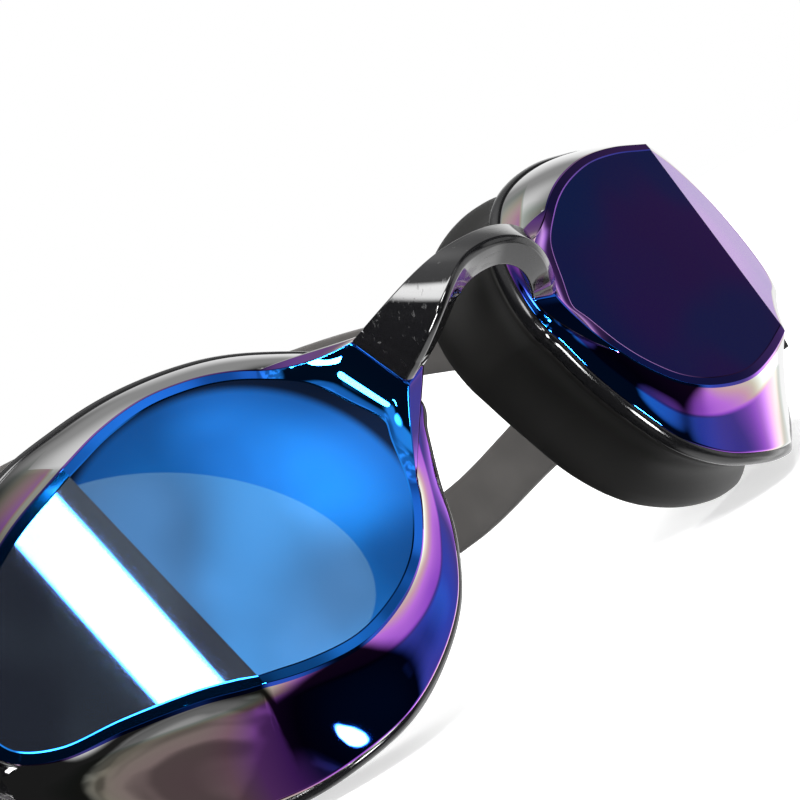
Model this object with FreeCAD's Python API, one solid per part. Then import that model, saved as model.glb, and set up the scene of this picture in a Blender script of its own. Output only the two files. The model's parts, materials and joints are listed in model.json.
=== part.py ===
import FreeCAD, Part
import math
import os

# Swim goggles: two mirror-coated lens cups on silicone gaskets, a nose bridge
# plugged between them, and a split head strap held by a clip at each temple.
#
# The cups are drawn as they are worn: X across the face, Y from the lens
# towards the face, Z up, and X = 0 is the mirror plane.  Everything is drawn
# for +X and mirrored.  The goggles are then leaned back by REST_TILT, so that
# they stand on their gaskets and on the back of the strap.

V = FreeCAD.Vector

# ---- driving dimensions, millimetres and degrees ----
NOSE_X = 13.5            # the front facet's nose end, from the mirror plane
FRONT_WRAP = 9.2         # how far the front facet turns back round the face
CREASE_X = 41.4          # the crease between the two facets, at mid height
CREASE_LEAN = 0.108      # the crease's sideways lean, per millimetre of height
TEMPLE_SLOPE = 0.625     # the temple facet's extra slope beyond the crease
LENS_WALL = 1.8
BAND_INSET = 2.4         # how far the seal frame reaches inwards
REST_TILT = 15.0         # how far the goggles lean back at rest

# Temple tongue, clip and strap.  The clip turns on a pin through the tongue.
PIVOT_X = 61.2           # outer face of the temple tongue
PIVOT_Y = 31.0
TONGUE_THICK = 2.6
TONGUE_R = 3.6
PIN_R = 1.25
RUNNING_GAP = 0.05
SIDE_GAP = 0.3           # between the tongue and the clip

HUB_R = 4.6
HUB_THICK = 1.8
PIN_HEAD_R = 3.4
PIN_HEAD_THICK = 0.9
RETAINER_R = 2.3
RETAINER_THICK = 0.8

STRAP_THICK = 1.6
STRAP_WIDTH = 9.0
BAND_GAP = 0.8           # between the two bands where they share the clip
TAIL_END = 30.0          # how far behind the pivot the strap's tails reach
POST_X = 62.9
POST_Y = 8.0             # the post, behind the pivot
POST_R = 1.1
TURN_R = POST_R + 0.05   # inside of the strap's turn round its post

RAIL_THICK = 1.8
RAIL_GAP = 0.3           # between the strap's edge and the clip's rails
COVER_X = 67.6           # inner face of the clip's cover
COVER_THICK = 1.4
COVER_FRONT = 4.0
COVER_BACK = 12.0
BUTTON_HALF = 4.0        # half height of the button
BUTTON_DEEP = 5.0        # its size along the strap
BUTTON_PROUD = 0.8
BUTTON_GAP = 0.15
BUTTON_FLANGE = 0.55
KEEPER_Y = 19.0
KEEPER_LONG = 4.0
KEEPER_WALL = 1.0
KEEPER_GAP = 0.25

# ---- the cup's outlines ----
# Rim of the two facets: x, z.  It starts at the top of the crease, runs over
# the top to the nose, back along the bottom and round the temple.
CREASE_TOP = 13.7
CREASE_FOOT = -13.2
RIM = [(CREASE_X + CREASE_LEAN * CREASE_TOP, CREASE_TOP), (37.7, 15.0), (32.8, 15.4), (28.5, 14.8), (24.7, 13.6),
       (21.2, 11.7), (17.3, 8.7), (14.8, 4.4), (13.2, 1.0), (14.0, -1.6),
       (15.4, -5.7), (17.5, -9.2), (20.4, -12.2), (24.4, -14.3), (29.6, -15.4),
       (34.8, -14.8), (CREASE_X + CREASE_LEAN * CREASE_FOOT, CREASE_FOOT), (44.5, -10.8), (50.0, -8.6), (55.0, -7.0),
       (58.4, -4.0), (59.2, 0.4), (57.8, 5.2), (54.2, 9.2), (48.8, 12.2)]
CREASE_END = 16          # the rim point at the bottom of the crease

# Flange, where the cup's wall meets the seal frame: x, y, z.
FLANGE = [(43.5, 12.6, 18.2), (37.5, 10.8, 18.9), (32.0, 9.2, 18.9), (26.5, 7.6, 18.0),
          (21.4, 5.8, 16.2), (17.0, 4.0, 13.4), (13.0, 2.2, 9.8), (10.2, 0.7, 4.8),
          (9.3, 0.0, 0.8), (10.4, 0.7, -1.7), (12.1, 1.9, -6.2), (14.3, 2.6, -11.7),
          (17.6, 3.8, -16.8), (22.5, 5.1, -20.5), (28.3, 6.2, -22.8), (34.0, 9.2, -23.2),
          (38.8, 13.4, -22.4), (44.0, 16.8, -20.2), (49.6, 19.8, -16.2), (54.6, 22.2, -11.0),
          (58.4, 23.6, -5.0), (59.6, 24.0, 1.2), (58.4, 22.8, 6.8), (54.8, 19.8, 12.0),
          (49.4, 16.0, 16.0)]

# Gasket lip, the line that seals on the face: x, y, z.
LIP = [(43.0, 23.2, 18.6), (37.4, 20.0, 20.0), (31.5, 17.8, 20.6), (25.5, 16.6, 20.2),
       (19.8, 16.0, 18.7), (14.8, 15.6, 16.2), (11.0, 15.3, 12.6), (8.9, 15.1, 7.6),
       (8.5, 15.0, 3.2), (9.1, 15.1, -0.2), (10.4, 15.4, -5.2), (12.6, 15.9, -11.6),
       (16.4, 16.5, -17.0), (21.6, 17.2, -20.6), (27.5, 18.4, -22.4), (33.0, 20.2, -22.6),
       (37.8, 22.4, -21.4), (43.2, 25.2, -18.8), (48.6, 28.0, -15.0), (53.0, 30.4, -10.4),
       (55.6, 31.8, -5.0), (56.2, 32.0, 0.8), (55.0, 30.8, 6.4), (52.0, 28.4, 11.8),
       (48.0, 25.8, 15.8)]

# ---- the nose bridge ----
# Bezier points of each edge, from the joint with the lens tab to the middle of the arch: x, y, z.
ARCH_TOP = [(13.5, -2.5, 8.6), (8.6, -8.6, 9.7), (4.8, -8.9, 10.7), (0.0, -8.9, 10.7)]
ARCH_FRONT = [(11.2, -2.5, 2.0), (7.2, -12.4, 5.0), (4.9, -11.3, 8.2), (0.0, -11.3, 8.2)]
ARCH_UNDER = [(8.1, -2.5, 3.0), (5.8, -7.5, 3.9), (4.9, -8.7, 6.5), (0.0, -8.7, 6.5)]
ARCH_BACK = [(10.2, -2.5, 8.6), (6.6, -6.5, 9.2), (4.5, -6.9, 9.4), (0.0, -6.9, 9.4)]
ARCH_STEPS = 6
TAB_ROOT = [(16.6, 1.932, 9.4), (13.4, 0.9, 0.8), (10.6, 1.068, 2.2), (13.4, 1.86, 8.8)]  # one plane
PLUG = 2.2               # how far each end of the bridge plugs into its tab
PLUG_SHARE = 0.55        # the plug's size against the joint's
PLUG_LEAN = 0.3          # its lean outwards, per millimetre of reach

# ---- the head strap, at rest, from the pivot ----
# Plan: x across and y back.  Rise: y back and z up, to the band's middle.
MAIN_X = POST_X - TURN_R - STRAP_THICK / 2
BAND_Z = (STRAP_WIDTH + BAND_GAP) / 2
UPPER_PLAN = [(MAIN_X, POST_Y), (MAIN_X, 20.0), (60.5, 34.0), (57.5, 66.0), (54.0, 97.0),
              (49.0, 130.0), (39.0, 158.0), (21.0, 173.0), (0.0, 177.0)]
LOWER_PLAN = [(MAIN_X, POST_Y), (MAIN_X, 20.0), (60.0, 34.0), (57.0, 60.0), (52.5, 90.0),
              (45.5, 118.0), (34.0, 138.0), (18.0, 149.0), (0.0, 152.0)]
UPPER_RISE = [(-20.0, BAND_Z), (POST_Y, BAND_Z), (26.0, BAND_Z), (42.0, 8.6), (66.0, 14.2),
              (97.0, 18.4), (143.0, 24.0), (190.0, 26.5)]
LOWER_DIP = [(-20.0, -BAND_Z), (POST_Y, -BAND_Z), (26.0, -BAND_Z), (42.0, -8.0), (64.0, -13.4)]
LOWER_FLAT = (88.0, 170.0)   # where the lower band lies on the surface below


def tilt(shape):
    """Lean a worn-frame shape back to how the goggles stand at rest."""
    shape = shape.copy()
    shape.rotate(V(0, 0, 0), V(1, 0, 0), -REST_TILT)
    return shape


def mirror(shape):
    """The same piece for the other side of the nose."""
    return shape.mirror(V(0, 0, 0), V(1, 0, 0))


def facet_y(x, z):
    """Depth of the two facets at a point of the lens."""
    beyond = x - (CREASE_X + CREASE_LEAN * z)
    front = math.tan(math.radians(FRONT_WRAP)) * (x - NOSE_X)
    return front + TEMPLE_SLOPE * max(0.0, beyond)


def vectors(points):
    return [V(*p) for p in points]


def inset(ring, distance, back=0.0):
    """Move a ring towards the cup's middle, and back by the given depth."""
    count = len(ring)
    moved = []
    for i, p in enumerate(ring):
        along = ring[(i + 1) % count] - ring[i - 1]
        inward = V(-along.z, 0, along.x)
        inward.normalize()
        moved.append(p + inward * distance + V(0, back, 0))
    return moved


def between(ring_a, ring_b, share):
    return [a + (b - a) * share for a, b in zip(ring_a, ring_b)]


def ring_edges(ring):
    """A ring as two smooth edges that meet at the ends of the crease."""
    count = len(ring)
    edges = []
    for first, last in ((0, CREASE_END), (CREASE_END, count)):
        points = [ring[i % count] for i in range(first, last + 1)]
        curve = Part.BSplineCurve()
        curve.interpolate(Points=points, Parameters=[float(k) for k in range(len(points))])
        edges.append(curve.toShape())
    return edges


def solid_from(faces, name):
    """Sew faces into one closed solid."""
    shell = Part.makeShell(faces)
    shell.sewShape()
    if shell.ShapeType != "Shell":
        shell = shell.Shells[0]
    solid = Part.makeSolid(shell)
    if solid.Volume < 0:
        solid.reverse()
    if not solid.isValid() or not shell.isClosed():
        print("check", name, "valid", solid.isValid(), "closed", shell.isClosed())
    return solid


def skin(rings, closed):
    """Ruled faces from each ring to the next, and back to the first if closed."""
    edges = [ring_edges(r) for r in rings]
    pairs = list(zip(edges[:-1], edges[1:]))
    if closed:
        pairs.append((edges[-1], edges[0]))
    return [Part.makeRuledSurface(a, b) for pair in pairs for a, b in zip(*pair)]


def facet_faces(ring):
    """The front and temple facets that fill a rim ring."""
    front, temple = ring_edges(ring)
    crease = Part.makeLine(ring[CREASE_END], ring[0])
    return [Part.Face(Part.Wire([front, crease])), Part.Face(Part.Wire([temple, crease]))]


RIM_RING = [V(x, facet_y(x, z), z) for x, z in RIM]
FLANGE_RING = vectors(FLANGE)
LIP_RING = vectors(LIP)


def inner_rim():
    """The cavity's front edge: the rim, inset and one wall deeper."""
    ring = inset(RIM_RING, LENS_WALL)
    for i in (0, CREASE_END):
        ring[i] = V(CREASE_X + CREASE_LEAN * ring[i].z, 0, ring[i].z)
    return [V(p.x, facet_y(p.x, p.z) + LENS_WALL * 1.15, p.z) for p in ring]


def lens_cup():
    """Faceted lens with its flared wall, hollow behind."""
    flange_inner = inset(FLANGE_RING, LENS_WALL, LENS_WALL * 0.8)
    rims = inner_rim()
    faces = facet_faces(RIM_RING) + facet_faces(rims)
    faces += skin([RIM_RING, FLANGE_RING, flange_inner, rims], False)
    return solid_from(faces, "lens")


def seal_frame():
    """Hard black frame between the lens flange and the gasket."""
    flange_inner = inset(FLANGE_RING, LENS_WALL, LENS_WALL * 0.8)
    back = inset(FLANGE_RING, -0.8, 1.9)
    back_inner = inset(FLANGE_RING, BAND_INSET, 2.6)
    return solid_from(skin([FLANGE_RING, back, back_inner, flange_inner], True), "seal_frame")


def gasket():
    """Soft face seal: a pinched skirt with a rounded lip."""
    base = inset(FLANGE_RING, -0.6, 1.95)
    base_inner = inset(FLANGE_RING, BAND_INSET - 0.2, 2.62)
    waist = inset(between(base, LIP_RING, 0.45), 1.6)
    waist_inner = inset(between(base, LIP_RING, 0.5), 3.4)
    lip_mid = inset(LIP_RING, 1.6, 0.7)
    lip_inner = inset(LIP_RING, 3.4, -0.4)
    rings = [base, waist, LIP_RING, lip_mid, lip_inner, waist_inner, base_inner]
    return solid_from(skin(rings, True), "gasket")


def arch_edge(bend, share):
    """Point of one bridge edge: its curve runs from the joint to the middle of the nose."""
    joint, near, far, middle = vectors(bend)
    rest = 1.0 - share
    return joint * rest**3 + near * 3 * rest**2 * share + far * 3 * rest * share**2 + middle * share**3


def arch_corners(share):
    return [arch_edge(bend, share) for bend in (ARCH_TOP, ARCH_FRONT, ARCH_UNDER, ARCH_BACK)]


def arch_section(share, side):
    corners = [V(side * p.x, p.y, p.z) for p in arch_corners(share)]
    return Part.makePolygon(corners + corners[:1])


def plug(side, grow):
    """The bridge's end that fits inside the lens tab."""
    corners = arch_corners(0.0)
    middle = (corners[0] + corners[1] + corners[2] + corners[3]) * 0.25
    small = [middle + (p - middle) * PLUG_SHARE for p in corners]
    start = [V(side * p.x, p.y, p.z) for p in small]
    reach = V(side * PLUG_LEAN, 1.0, 0.0) * (PLUG + grow)
    wires = [Part.makePolygon(ring + ring[:1]) for ring in (start, [p + reach for p in start])]
    return Part.makeLoft(wires, True, True)


def nose_bridge():
    """Glossy arch over the nose, with a plug at each end."""
    shares = [k / ARCH_STEPS for k in range(ARCH_STEPS + 1)]
    wires = [arch_section(share, 1) for share in shares]
    wires += [arch_section(share, -1) for share in reversed(shares[:-1])]
    arch = Part.makeLoft(wires, True, True)
    return arch.fuse([plug(1, 0.0), plug(-1, 0.0)]).removeSplitter()


def lens_tab():
    """Tab that flares from the rim to the joint with the nose bridge."""
    wires = [Part.makePolygon(ring + ring[:1]) for ring in (arch_corners(0.0), vectors(TAB_ROOT))]
    return Part.makeLoft(wires, True, True)


def lens():
    """The lens cup with its tab for the bridge and its tongue for the clip."""
    whole = lens_cup().fuse(lens_tab()).fuse(tongue())
    return whole.cut(plug(1, 0.1))


def tongue():
    """Flat lug behind the temple that carries the strap clip's pin."""
    thin = PIVOT_X - TONGUE_THICK
    outline = [(thin, 20.5, 0), (PIVOT_X, 22.0, 0), (PIVOT_X, PIVOT_Y, 0), (thin, PIVOT_Y, 0)]
    points = vectors(outline)
    plate = Part.Face(Part.makePolygon(points + points[:1])).extrude(V(0, 0, 2 * TONGUE_R))
    plate.translate(V(0, 0, -TONGUE_R))
    eye = rod(thin, PIVOT_X, TONGUE_R)
    eye.translate(V(0, PIVOT_Y, 0))
    hole = rod(thin - 5, PIVOT_X + 5, PIN_R + RUNNING_GAP)
    hole.translate(V(0, PIVOT_Y, 0))
    return plate.fuse(eye).cut(hole)


# Everything below is drawn from the pivot: y back and z up, at rest.

def rod(x0, x1, radius):
    """Cylinder across the head, centred on the pivot."""
    return Part.makeCylinder(radius, x1 - x0, V(x0, 0, 0), V(1, 0, 0))


def box(x0, x1, y0, y1, z0, z1):
    return Part.makeBox(x1 - x0, y1 - y0, z1 - z0, V(x0, y0, z0))


def upright_box(x0, x1, y0, y1, half):
    return box(x0, x1, y0, y1, -half, half)


HUB_X0 = PIVOT_X + SIDE_GAP
HUB_X1 = HUB_X0 + HUB_THICK
RAIL_Z = STRAP_WIDTH + BAND_GAP / 2 + RAIL_GAP
CLIP_HALF = RAIL_Z + RAIL_THICK
COVER_X1 = COVER_X + COVER_THICK
BUTTON_MID = (COVER_FRONT + COVER_BACK) / 2


def strap_clip():
    """Frame that turns on the tongue and holds the strap post and the button."""
    web_end = POST_Y - TURN_R - STRAP_THICK - RAIL_GAP
    clip = rod(HUB_X0, HUB_X1, HUB_R)
    clip = clip.fuse(upright_box(HUB_X0, HUB_X1, 0, web_end, CLIP_HALF))
    for z0, z1 in ((RAIL_Z, CLIP_HALF), (-CLIP_HALF, -RAIL_Z)):
        clip = clip.fuse(box(HUB_X0, COVER_X1, 0, COVER_BACK, z0, z1))
    clip = clip.fuse(upright_box(COVER_X, COVER_X1, COVER_FRONT, COVER_BACK, CLIP_HALF))
    half_deep = BUTTON_DEEP / 2 + BUTTON_GAP
    window = upright_box(COVER_X - 1, COVER_X1 + 1, BUTTON_MID - half_deep,
                         BUTTON_MID + half_deep, BUTTON_HALF + BUTTON_GAP)
    post_hole = Part.makeCylinder(POST_R, 2 * CLIP_HALF, V(POST_X, POST_Y, -CLIP_HALF))
    pin_hole = rod(HUB_X0 - 1, HUB_X1 + 1, PIN_R)
    return clip.cut(window).cut(post_hole).cut(pin_hole).removeSplitter()


def strap_post():
    """Round bar that the strap's ends turn round."""
    return Part.makeCylinder(POST_R, 2 * CLIP_HALF, V(POST_X, POST_Y, -CLIP_HALF))


def pivot_pin():
    """Headed pin, fast in the clip and free in the tongue."""
    inner = PIVOT_X - TONGUE_THICK - BUTTON_GAP - RETAINER_THICK
    shaft = rod(inner, HUB_X1, PIN_R)
    head = rod(HUB_X1, HUB_X1 + PIN_HEAD_THICK, PIN_HEAD_R)
    return shaft.fuse(head).removeSplitter()


def pin_retainer():
    """Washer that keeps the pin from pulling out of the tongue."""
    outer = PIVOT_X - TONGUE_THICK - BUTTON_GAP
    washer = rod(outer - RETAINER_THICK, outer, RETAINER_R)
    return washer.cut(rod(outer - 2, outer + 1, PIN_R))


def release_button():
    """Button that slides in through the clip's cover and frees the strap."""
    half = BUTTON_DEEP / 2
    stem = upright_box(COVER_X - BUTTON_GAP, COVER_X1 + BUTTON_PROUD, BUTTON_MID - half,
                       BUTTON_MID + half, BUTTON_HALF)
    flange = upright_box(COVER_X - BUTTON_GAP - BUTTON_FLANGE, COVER_X - BUTTON_GAP,
                         BUTTON_MID - half - 0.7, BUTTON_MID + half + 0.7, BUTTON_HALF + 1.0)
    return stem.fuse(flange).removeSplitter()


def keeper():
    """Loop that holds the strap's tails against the bands."""
    x0 = MAIN_X - STRAP_THICK / 2 - KEEPER_GAP
    x1 = 2 * POST_X - MAIN_X + STRAP_THICK / 2 + KEEPER_GAP
    half = STRAP_WIDTH + BAND_GAP / 2 + KEEPER_GAP
    y0, y1 = KEEPER_Y - KEEPER_LONG / 2, KEEPER_Y + KEEPER_LONG / 2
    outside = upright_box(x0 - KEEPER_WALL, x1 + KEEPER_WALL, y0, y1, half + KEEPER_WALL)
    return outside.cut(upright_box(x0, x1, y0 - 1, y1 + 1, half))


def smooth(points):
    curve = Part.BSplineCurve()
    curve.interpolate(Points=points)
    return curve.toShape()


def offset_line(points, distance):
    """The points of a flat line, each moved to the left of its direction."""
    moved = []
    last = len(points) - 1
    for i, p in enumerate(points):
        along = points[min(i + 1, last)] - points[max(i - 1, 0)]
        left = V(-along.y, along.x, 0)
        left.normalize()
        moved.append(p + left * distance)
    return moved


def strip_face(points, half):
    """Face of constant width along a smooth flat line."""
    edge_a = smooth(offset_line(points, half))
    edge_b = smooth(offset_line(points, -half))
    ends = [Part.makeLine(edge_a.Vertexes[k].Point, edge_b.Vertexes[k].Point) for k in (0, -1)]
    return Part.Face(Part.Wire(Part.__sortEdges__([edge_a, ends[1], edge_b, ends[0]])))


def end_turn(side):
    """Plan of one strap end: the turn round the post and the tail."""
    x = side * POST_X
    turn = Part.makeCylinder(TURN_R + STRAP_THICK, 2 * CLIP_HALF, V(x, POST_Y, -CLIP_HALF))
    turn = turn.cut(Part.makeCylinder(TURN_R, 2 * CLIP_HALF, V(x, POST_Y, -CLIP_HALF)))
    turn = turn.cut(upright_box(x - 10, x + 10, POST_Y, POST_Y + 10, 2 * CLIP_HALF))
    near, far = x + side * TURN_R, x + side * (TURN_R + STRAP_THICK)
    tail = upright_box(min(near, far), max(near, far), POST_Y, TAIL_END, CLIP_HALF)
    return turn.fuse(tail)


def head_band(plan, rise):
    """One band of the strap: its plan and its side view, intersected."""
    half_loop = [V(x, y, 0) for x, y in plan]
    loop = half_loop + [V(-p.x, p.y, 0) for p in reversed(half_loop[:-1])]
    tall = 80.0
    slab = strip_face(loop, STRAP_THICK / 2).extrude(V(0, 0, 2 * tall))
    slab.translate(V(0, 0, -tall))
    low = [V(-2 * POST_X, y, z - STRAP_WIDTH / 2) for y, z in rise]
    high = [p + V(0, 0, STRAP_WIDTH) for p in low]
    bottom, top = smooth(low), smooth(high)
    ends = [Part.makeLine(a, b) for a, b in ((low[0], high[0]), (low[-1], high[-1]))]
    side = Part.Face(Part.Wire(Part.__sortEdges__([bottom, ends[1], top, ends[0]])))
    side = side.extrude(V(4 * POST_X, 0, 0))
    band = slab.common(side)
    for end in (1, -1):
        band = band.fuse(end_turn(end).common(side))
    return band.removeSplitter()


def goggles():
    """Every piece by name, standing on z = 0 about the middle of its footprint."""
    lug = tongue()
    sides = {"lens": tilt(lens()), "seal_frame": tilt(seal_frame().cut(lug)),
             "gasket": tilt(gasket().cut(lug))}
    floor = sides["gasket"].BoundBox.ZMin
    angle = math.radians(REST_TILT)
    pivot = V(0, PIVOT_Y * math.cos(angle), -PIVOT_Y * math.sin(angle))
    flat = floor - pivot.z + STRAP_WIDTH / 2
    lower_rise = LOWER_DIP + [(y, flat) for y in LOWER_FLAT]
    drawn = {"strap_clip": strap_clip(), "strap_post": strap_post(), "pivot_pin": pivot_pin(),
             "pin_retainer": pin_retainer(), "release_button": release_button(),
             "strap_keeper": keeper()}
    for name, shape in drawn.items():
        sides[name] = shape.translated(pivot)
    pieces = {}
    for name, shape in sides.items():
        pieces[name + "_left"] = shape
        pieces[name + "_right"] = mirror(shape)
    pieces["nose_bridge"] = tilt(nose_bridge())
    pieces["strap_upper"] = head_band(UPPER_PLAN, UPPER_RISE).translated(pivot)
    pieces["strap_lower"] = head_band(LOWER_PLAN, lower_rise).translated(pivot)
    whole = Part.makeCompound(list(pieces.values())).BoundBox
    shift = V(0, -(whole.YMin + whole.YMax) / 2, -whole.ZMin)
    print("worn frame to row frame", shift, "pivot", pivot + shift)
    return {name: shape.translated(shift) for name, shape in pieces.items()}


if __name__ == "__main__":
    os.makedirs("parts", exist_ok=True)
    for name, shape in goggles().items():
        print(name, len(shape.Solids), shape.isValid(), round(shape.Volume, 1))
        shape.exportStep("parts/" + name + ".step")
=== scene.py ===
"""Swim goggles: mirror lens cups, gaskets, nose bridge and head strap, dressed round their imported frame."""

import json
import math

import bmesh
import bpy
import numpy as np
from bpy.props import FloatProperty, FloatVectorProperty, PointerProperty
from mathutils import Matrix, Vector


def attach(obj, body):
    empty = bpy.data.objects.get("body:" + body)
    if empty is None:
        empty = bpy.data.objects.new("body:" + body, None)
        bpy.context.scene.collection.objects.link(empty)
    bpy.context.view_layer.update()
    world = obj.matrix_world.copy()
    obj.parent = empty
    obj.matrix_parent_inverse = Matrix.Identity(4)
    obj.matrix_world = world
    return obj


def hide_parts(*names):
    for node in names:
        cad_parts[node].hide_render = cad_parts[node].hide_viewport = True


bl_info = {
    "name": "Swim Goggles",
    "version": (1, 0, 0),
    "blender": (4, 5, 0),
    "location": "View3D > Sidebar > Goggles",
    "description": "Builds the lens cups, gaskets, bridge, strap and stage of a pair of swim goggles",
    "category": "Add Mesh",
}

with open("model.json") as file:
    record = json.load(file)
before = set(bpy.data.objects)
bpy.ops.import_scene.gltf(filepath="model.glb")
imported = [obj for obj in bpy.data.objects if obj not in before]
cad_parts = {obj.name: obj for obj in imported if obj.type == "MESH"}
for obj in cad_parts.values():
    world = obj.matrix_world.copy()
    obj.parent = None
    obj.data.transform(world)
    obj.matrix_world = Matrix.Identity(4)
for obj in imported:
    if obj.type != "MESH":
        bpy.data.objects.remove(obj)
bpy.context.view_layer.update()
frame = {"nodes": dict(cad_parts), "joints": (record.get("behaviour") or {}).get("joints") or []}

MM = 0.001

# ---- the worn frame, millimetres: x across, y back towards the face, z up ----
NOSE_X = 13.5
FRONT_WRAP = 9.2
CREASE_X = 41.4
CREASE_LEAN = 0.108
TEMPLE_SLOPE = 0.625
REST_TILT = 15.0
PIVOT_WORN_Y = 31.0
LENS_WALL = 1.8
PIVOT_X = 61.2
TONGUE_THICK = 2.6
TONGUE_R = 3.6
TONGUE_LENGTH = 9.4
PIN_EYE = 1.4
TONGUE_EDGE = 0.25
EYE_EDGE = 0.2
RIM_LAND = 1.0
CREASE_TOP = 13.7
CREASE_FOOT = -13.2
CREASE_END = 16

RIM = [(CREASE_X + CREASE_LEAN * CREASE_TOP, CREASE_TOP), (37.7, 15.0), (32.8, 15.4),
       (28.5, 14.8), (24.7, 13.6), (21.2, 11.7), (17.3, 8.7), (14.8, 4.4), (13.2, 1.0),
       (14.0, -1.6), (15.4, -5.7), (17.5, -9.2), (20.4, -12.2), (24.4, -14.3), (29.6, -15.4),
       (34.8, -14.8), (CREASE_X + CREASE_LEAN * CREASE_FOOT, CREASE_FOOT), (44.5, -10.8),
       (50.0, -8.6), (55.0, -7.0), (58.4, -4.0), (59.2, 0.4), (57.8, 5.2), (54.2, 9.2),
       (48.8, 12.2)]
FLANGE = [(43.5, 12.6, 18.2), (37.5, 10.8, 18.9), (32.0, 9.2, 18.9), (26.5, 7.6, 18.0),
          (21.4, 5.8, 16.2), (17.0, 4.0, 13.4), (13.0, 2.2, 9.8), (10.2, 0.7, 4.8),
          (9.3, 0.0, 0.8), (10.4, 0.7, -1.7), (12.1, 1.9, -6.2), (14.3, 2.6, -11.7),
          (17.6, 3.8, -16.8), (22.5, 5.1, -20.5), (28.3, 6.2, -22.8), (34.0, 9.2, -23.2),
          (38.8, 13.4, -22.4), (44.0, 16.8, -20.2), (49.6, 19.8, -16.2), (54.6, 22.2, -11.0),
          (58.4, 23.6, -5.0), (59.6, 24.0, 1.2), (58.4, 22.8, 6.8), (54.8, 19.8, 12.0),
          (49.4, 16.0, 16.0)]
LIP = [(43.0, 23.2, 18.6), (37.4, 20.0, 20.0), (31.5, 17.8, 20.6), (25.5, 16.6, 20.2),
       (19.8, 16.0, 18.7), (14.8, 15.6, 16.2), (11.0, 15.3, 12.6), (8.9, 15.1, 7.6),
       (8.5, 15.0, 3.2), (9.1, 15.1, -0.2), (10.4, 15.4, -5.2), (12.6, 15.9, -11.6),
       (16.4, 16.5, -17.0), (21.6, 17.2, -20.6), (27.5, 18.4, -22.4), (33.0, 20.2, -22.6),
       (37.8, 22.4, -21.4), (43.2, 25.2, -18.8), (48.6, 28.0, -15.0), (53.0, 30.4, -10.4),
       (55.6, 31.8, -5.0), (56.2, 32.0, 0.8), (55.0, 30.8, 6.4), (52.0, 28.4, 11.8),
       (48.0, 25.8, 15.8)]

# Points of a smooth outline between two of the given ones.
STEPS = 10
# The lens wall: where it swells most, counted round the rim, and its rings from flange to rim.
SWELL_STATION = 3.5
WALL_SHARES = (0.03, 0.08, 0.16, 0.28, 0.4, 0.52, 0.64, 0.74, 0.82, 0.89, 0.93)
WALL_TOP = 0.955
LAND_SHARES = (0.12, 0.25, 0.38, 0.5, 0.62, 0.72, 0.82, 0.9, 0.96)
LINING_SHARES = (0.0, 0.1, 0.4, 0.8, 0.95)
FACET_STEP_WIDE = 0.14
FACET_STEP_DEEP = 0.05
RIM_ROUND = 0.05
FLANGE_THICK = 0.5
# The lining inside: its depth behind the facets and behind the flange, in wall thicknesses.
LINING_DEPTH = 1.15
LINING_FOOT = 0.8

# Seal frame and gasket lip profiles: inwards from the outline, and back.
SEAL_PROFILE = ((0.9, 0.7), (0.05, 0.06), (-0.35, 0.25), (-0.68, 0.7), (-0.8, 1.2), (-0.72, 1.65),
                (-0.4, 1.92), (0.6, 2.15), (2.1, 2.55), (2.2, 1.9), (1.9, 1.5))
LIP_PROFILE = ((0.15, 0.35), (0.55, 0.72), (1.1, 0.86), (1.8, 0.75), (2.6, 0.3), (3.1, -0.4))
# Where the skirt starts outside and inside, and the tuck at its root.
SKIRT_ROOT = (-0.5, 1.95)
SKIRT_TUCK = (0.8, 0.1)
ROOT_INSIDE = (2.1, 2.6)
LIP_INSIDE = (3.4, -1.2)
SKIRT_PINCH = 1.75
HOLLOW_DEEP = 0.7
SKIRT_RINGS = 12
HOLLOW_RINGS = 7

# Bezier points of the bridge's four edges, from the joint to the middle of the nose.
ARCH_TOP = [(13.5, -2.5, 8.6), (8.6, -8.6, 9.7), (4.8, -8.9, 10.7), (0.0, -8.9, 10.7)]
ARCH_FRONT = [(11.2, -2.5, 2.0), (7.2, -12.4, 5.0), (4.9, -11.3, 8.2), (0.0, -11.3, 8.2)]
ARCH_UNDER = [(8.1, -2.5, 3.0), (5.8, -7.5, 3.9), (4.9, -8.7, 6.5), (0.0, -8.7, 6.5)]
ARCH_BACK = [(10.2, -2.5, 8.6), (6.6, -6.5, 9.2), (4.5, -6.9, 9.4), (0.0, -6.9, 9.4)]

BRIDGE_BEVEL = (0.45, 0.65)
BRIDGE_ROUND = 0.22
BRIDGE_RINGS = 44
# Share along the half arch and size of the section: rounded end, then a fine parting groove.
BRIDGE_END = ((0.0, 0.90), (0.004, 0.965), (0.012, 1.0), (0.07, 1.0), (0.074, 0.985),
              (0.084, 0.985), (0.088, 1.0))
BRIDGE_START = 0.1

# The tab swells out of the rim between these stations, counted round the rim.
TAB_STATIONS = (5.0, 6.6, 7.6, 10.0)
# It starts this far up the wall, and its joint face has a narrow bevel at both edges.
TAB_FOOT = 0.16
JOINT_BEVEL = 0.12
# The tab's hollow front: its direction at the joint, and how full it is at the rim and the joint.
TAB_FORWARD = np.array([-0.45, -0.85, 0.25])
TAB_FULLNESS = (0.50, 0.30)
TAB_TOP_BEND = [(18.2, 0.5, 9.8), (15.6, -0.9, 9.05)]
TAB_LOW_BEND = [(12.0, -1.6, 0.8), (13.3, -0.2, -2.4)]
TAB_BACK_BEND = [(16.0, 2.0, 11.6), (12.0, -0.4, 9.4)]
TAB_UNDER_BEND = [(9.0, -1.4, 1.4), (12.4, 0.5, -2.6)]

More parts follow.
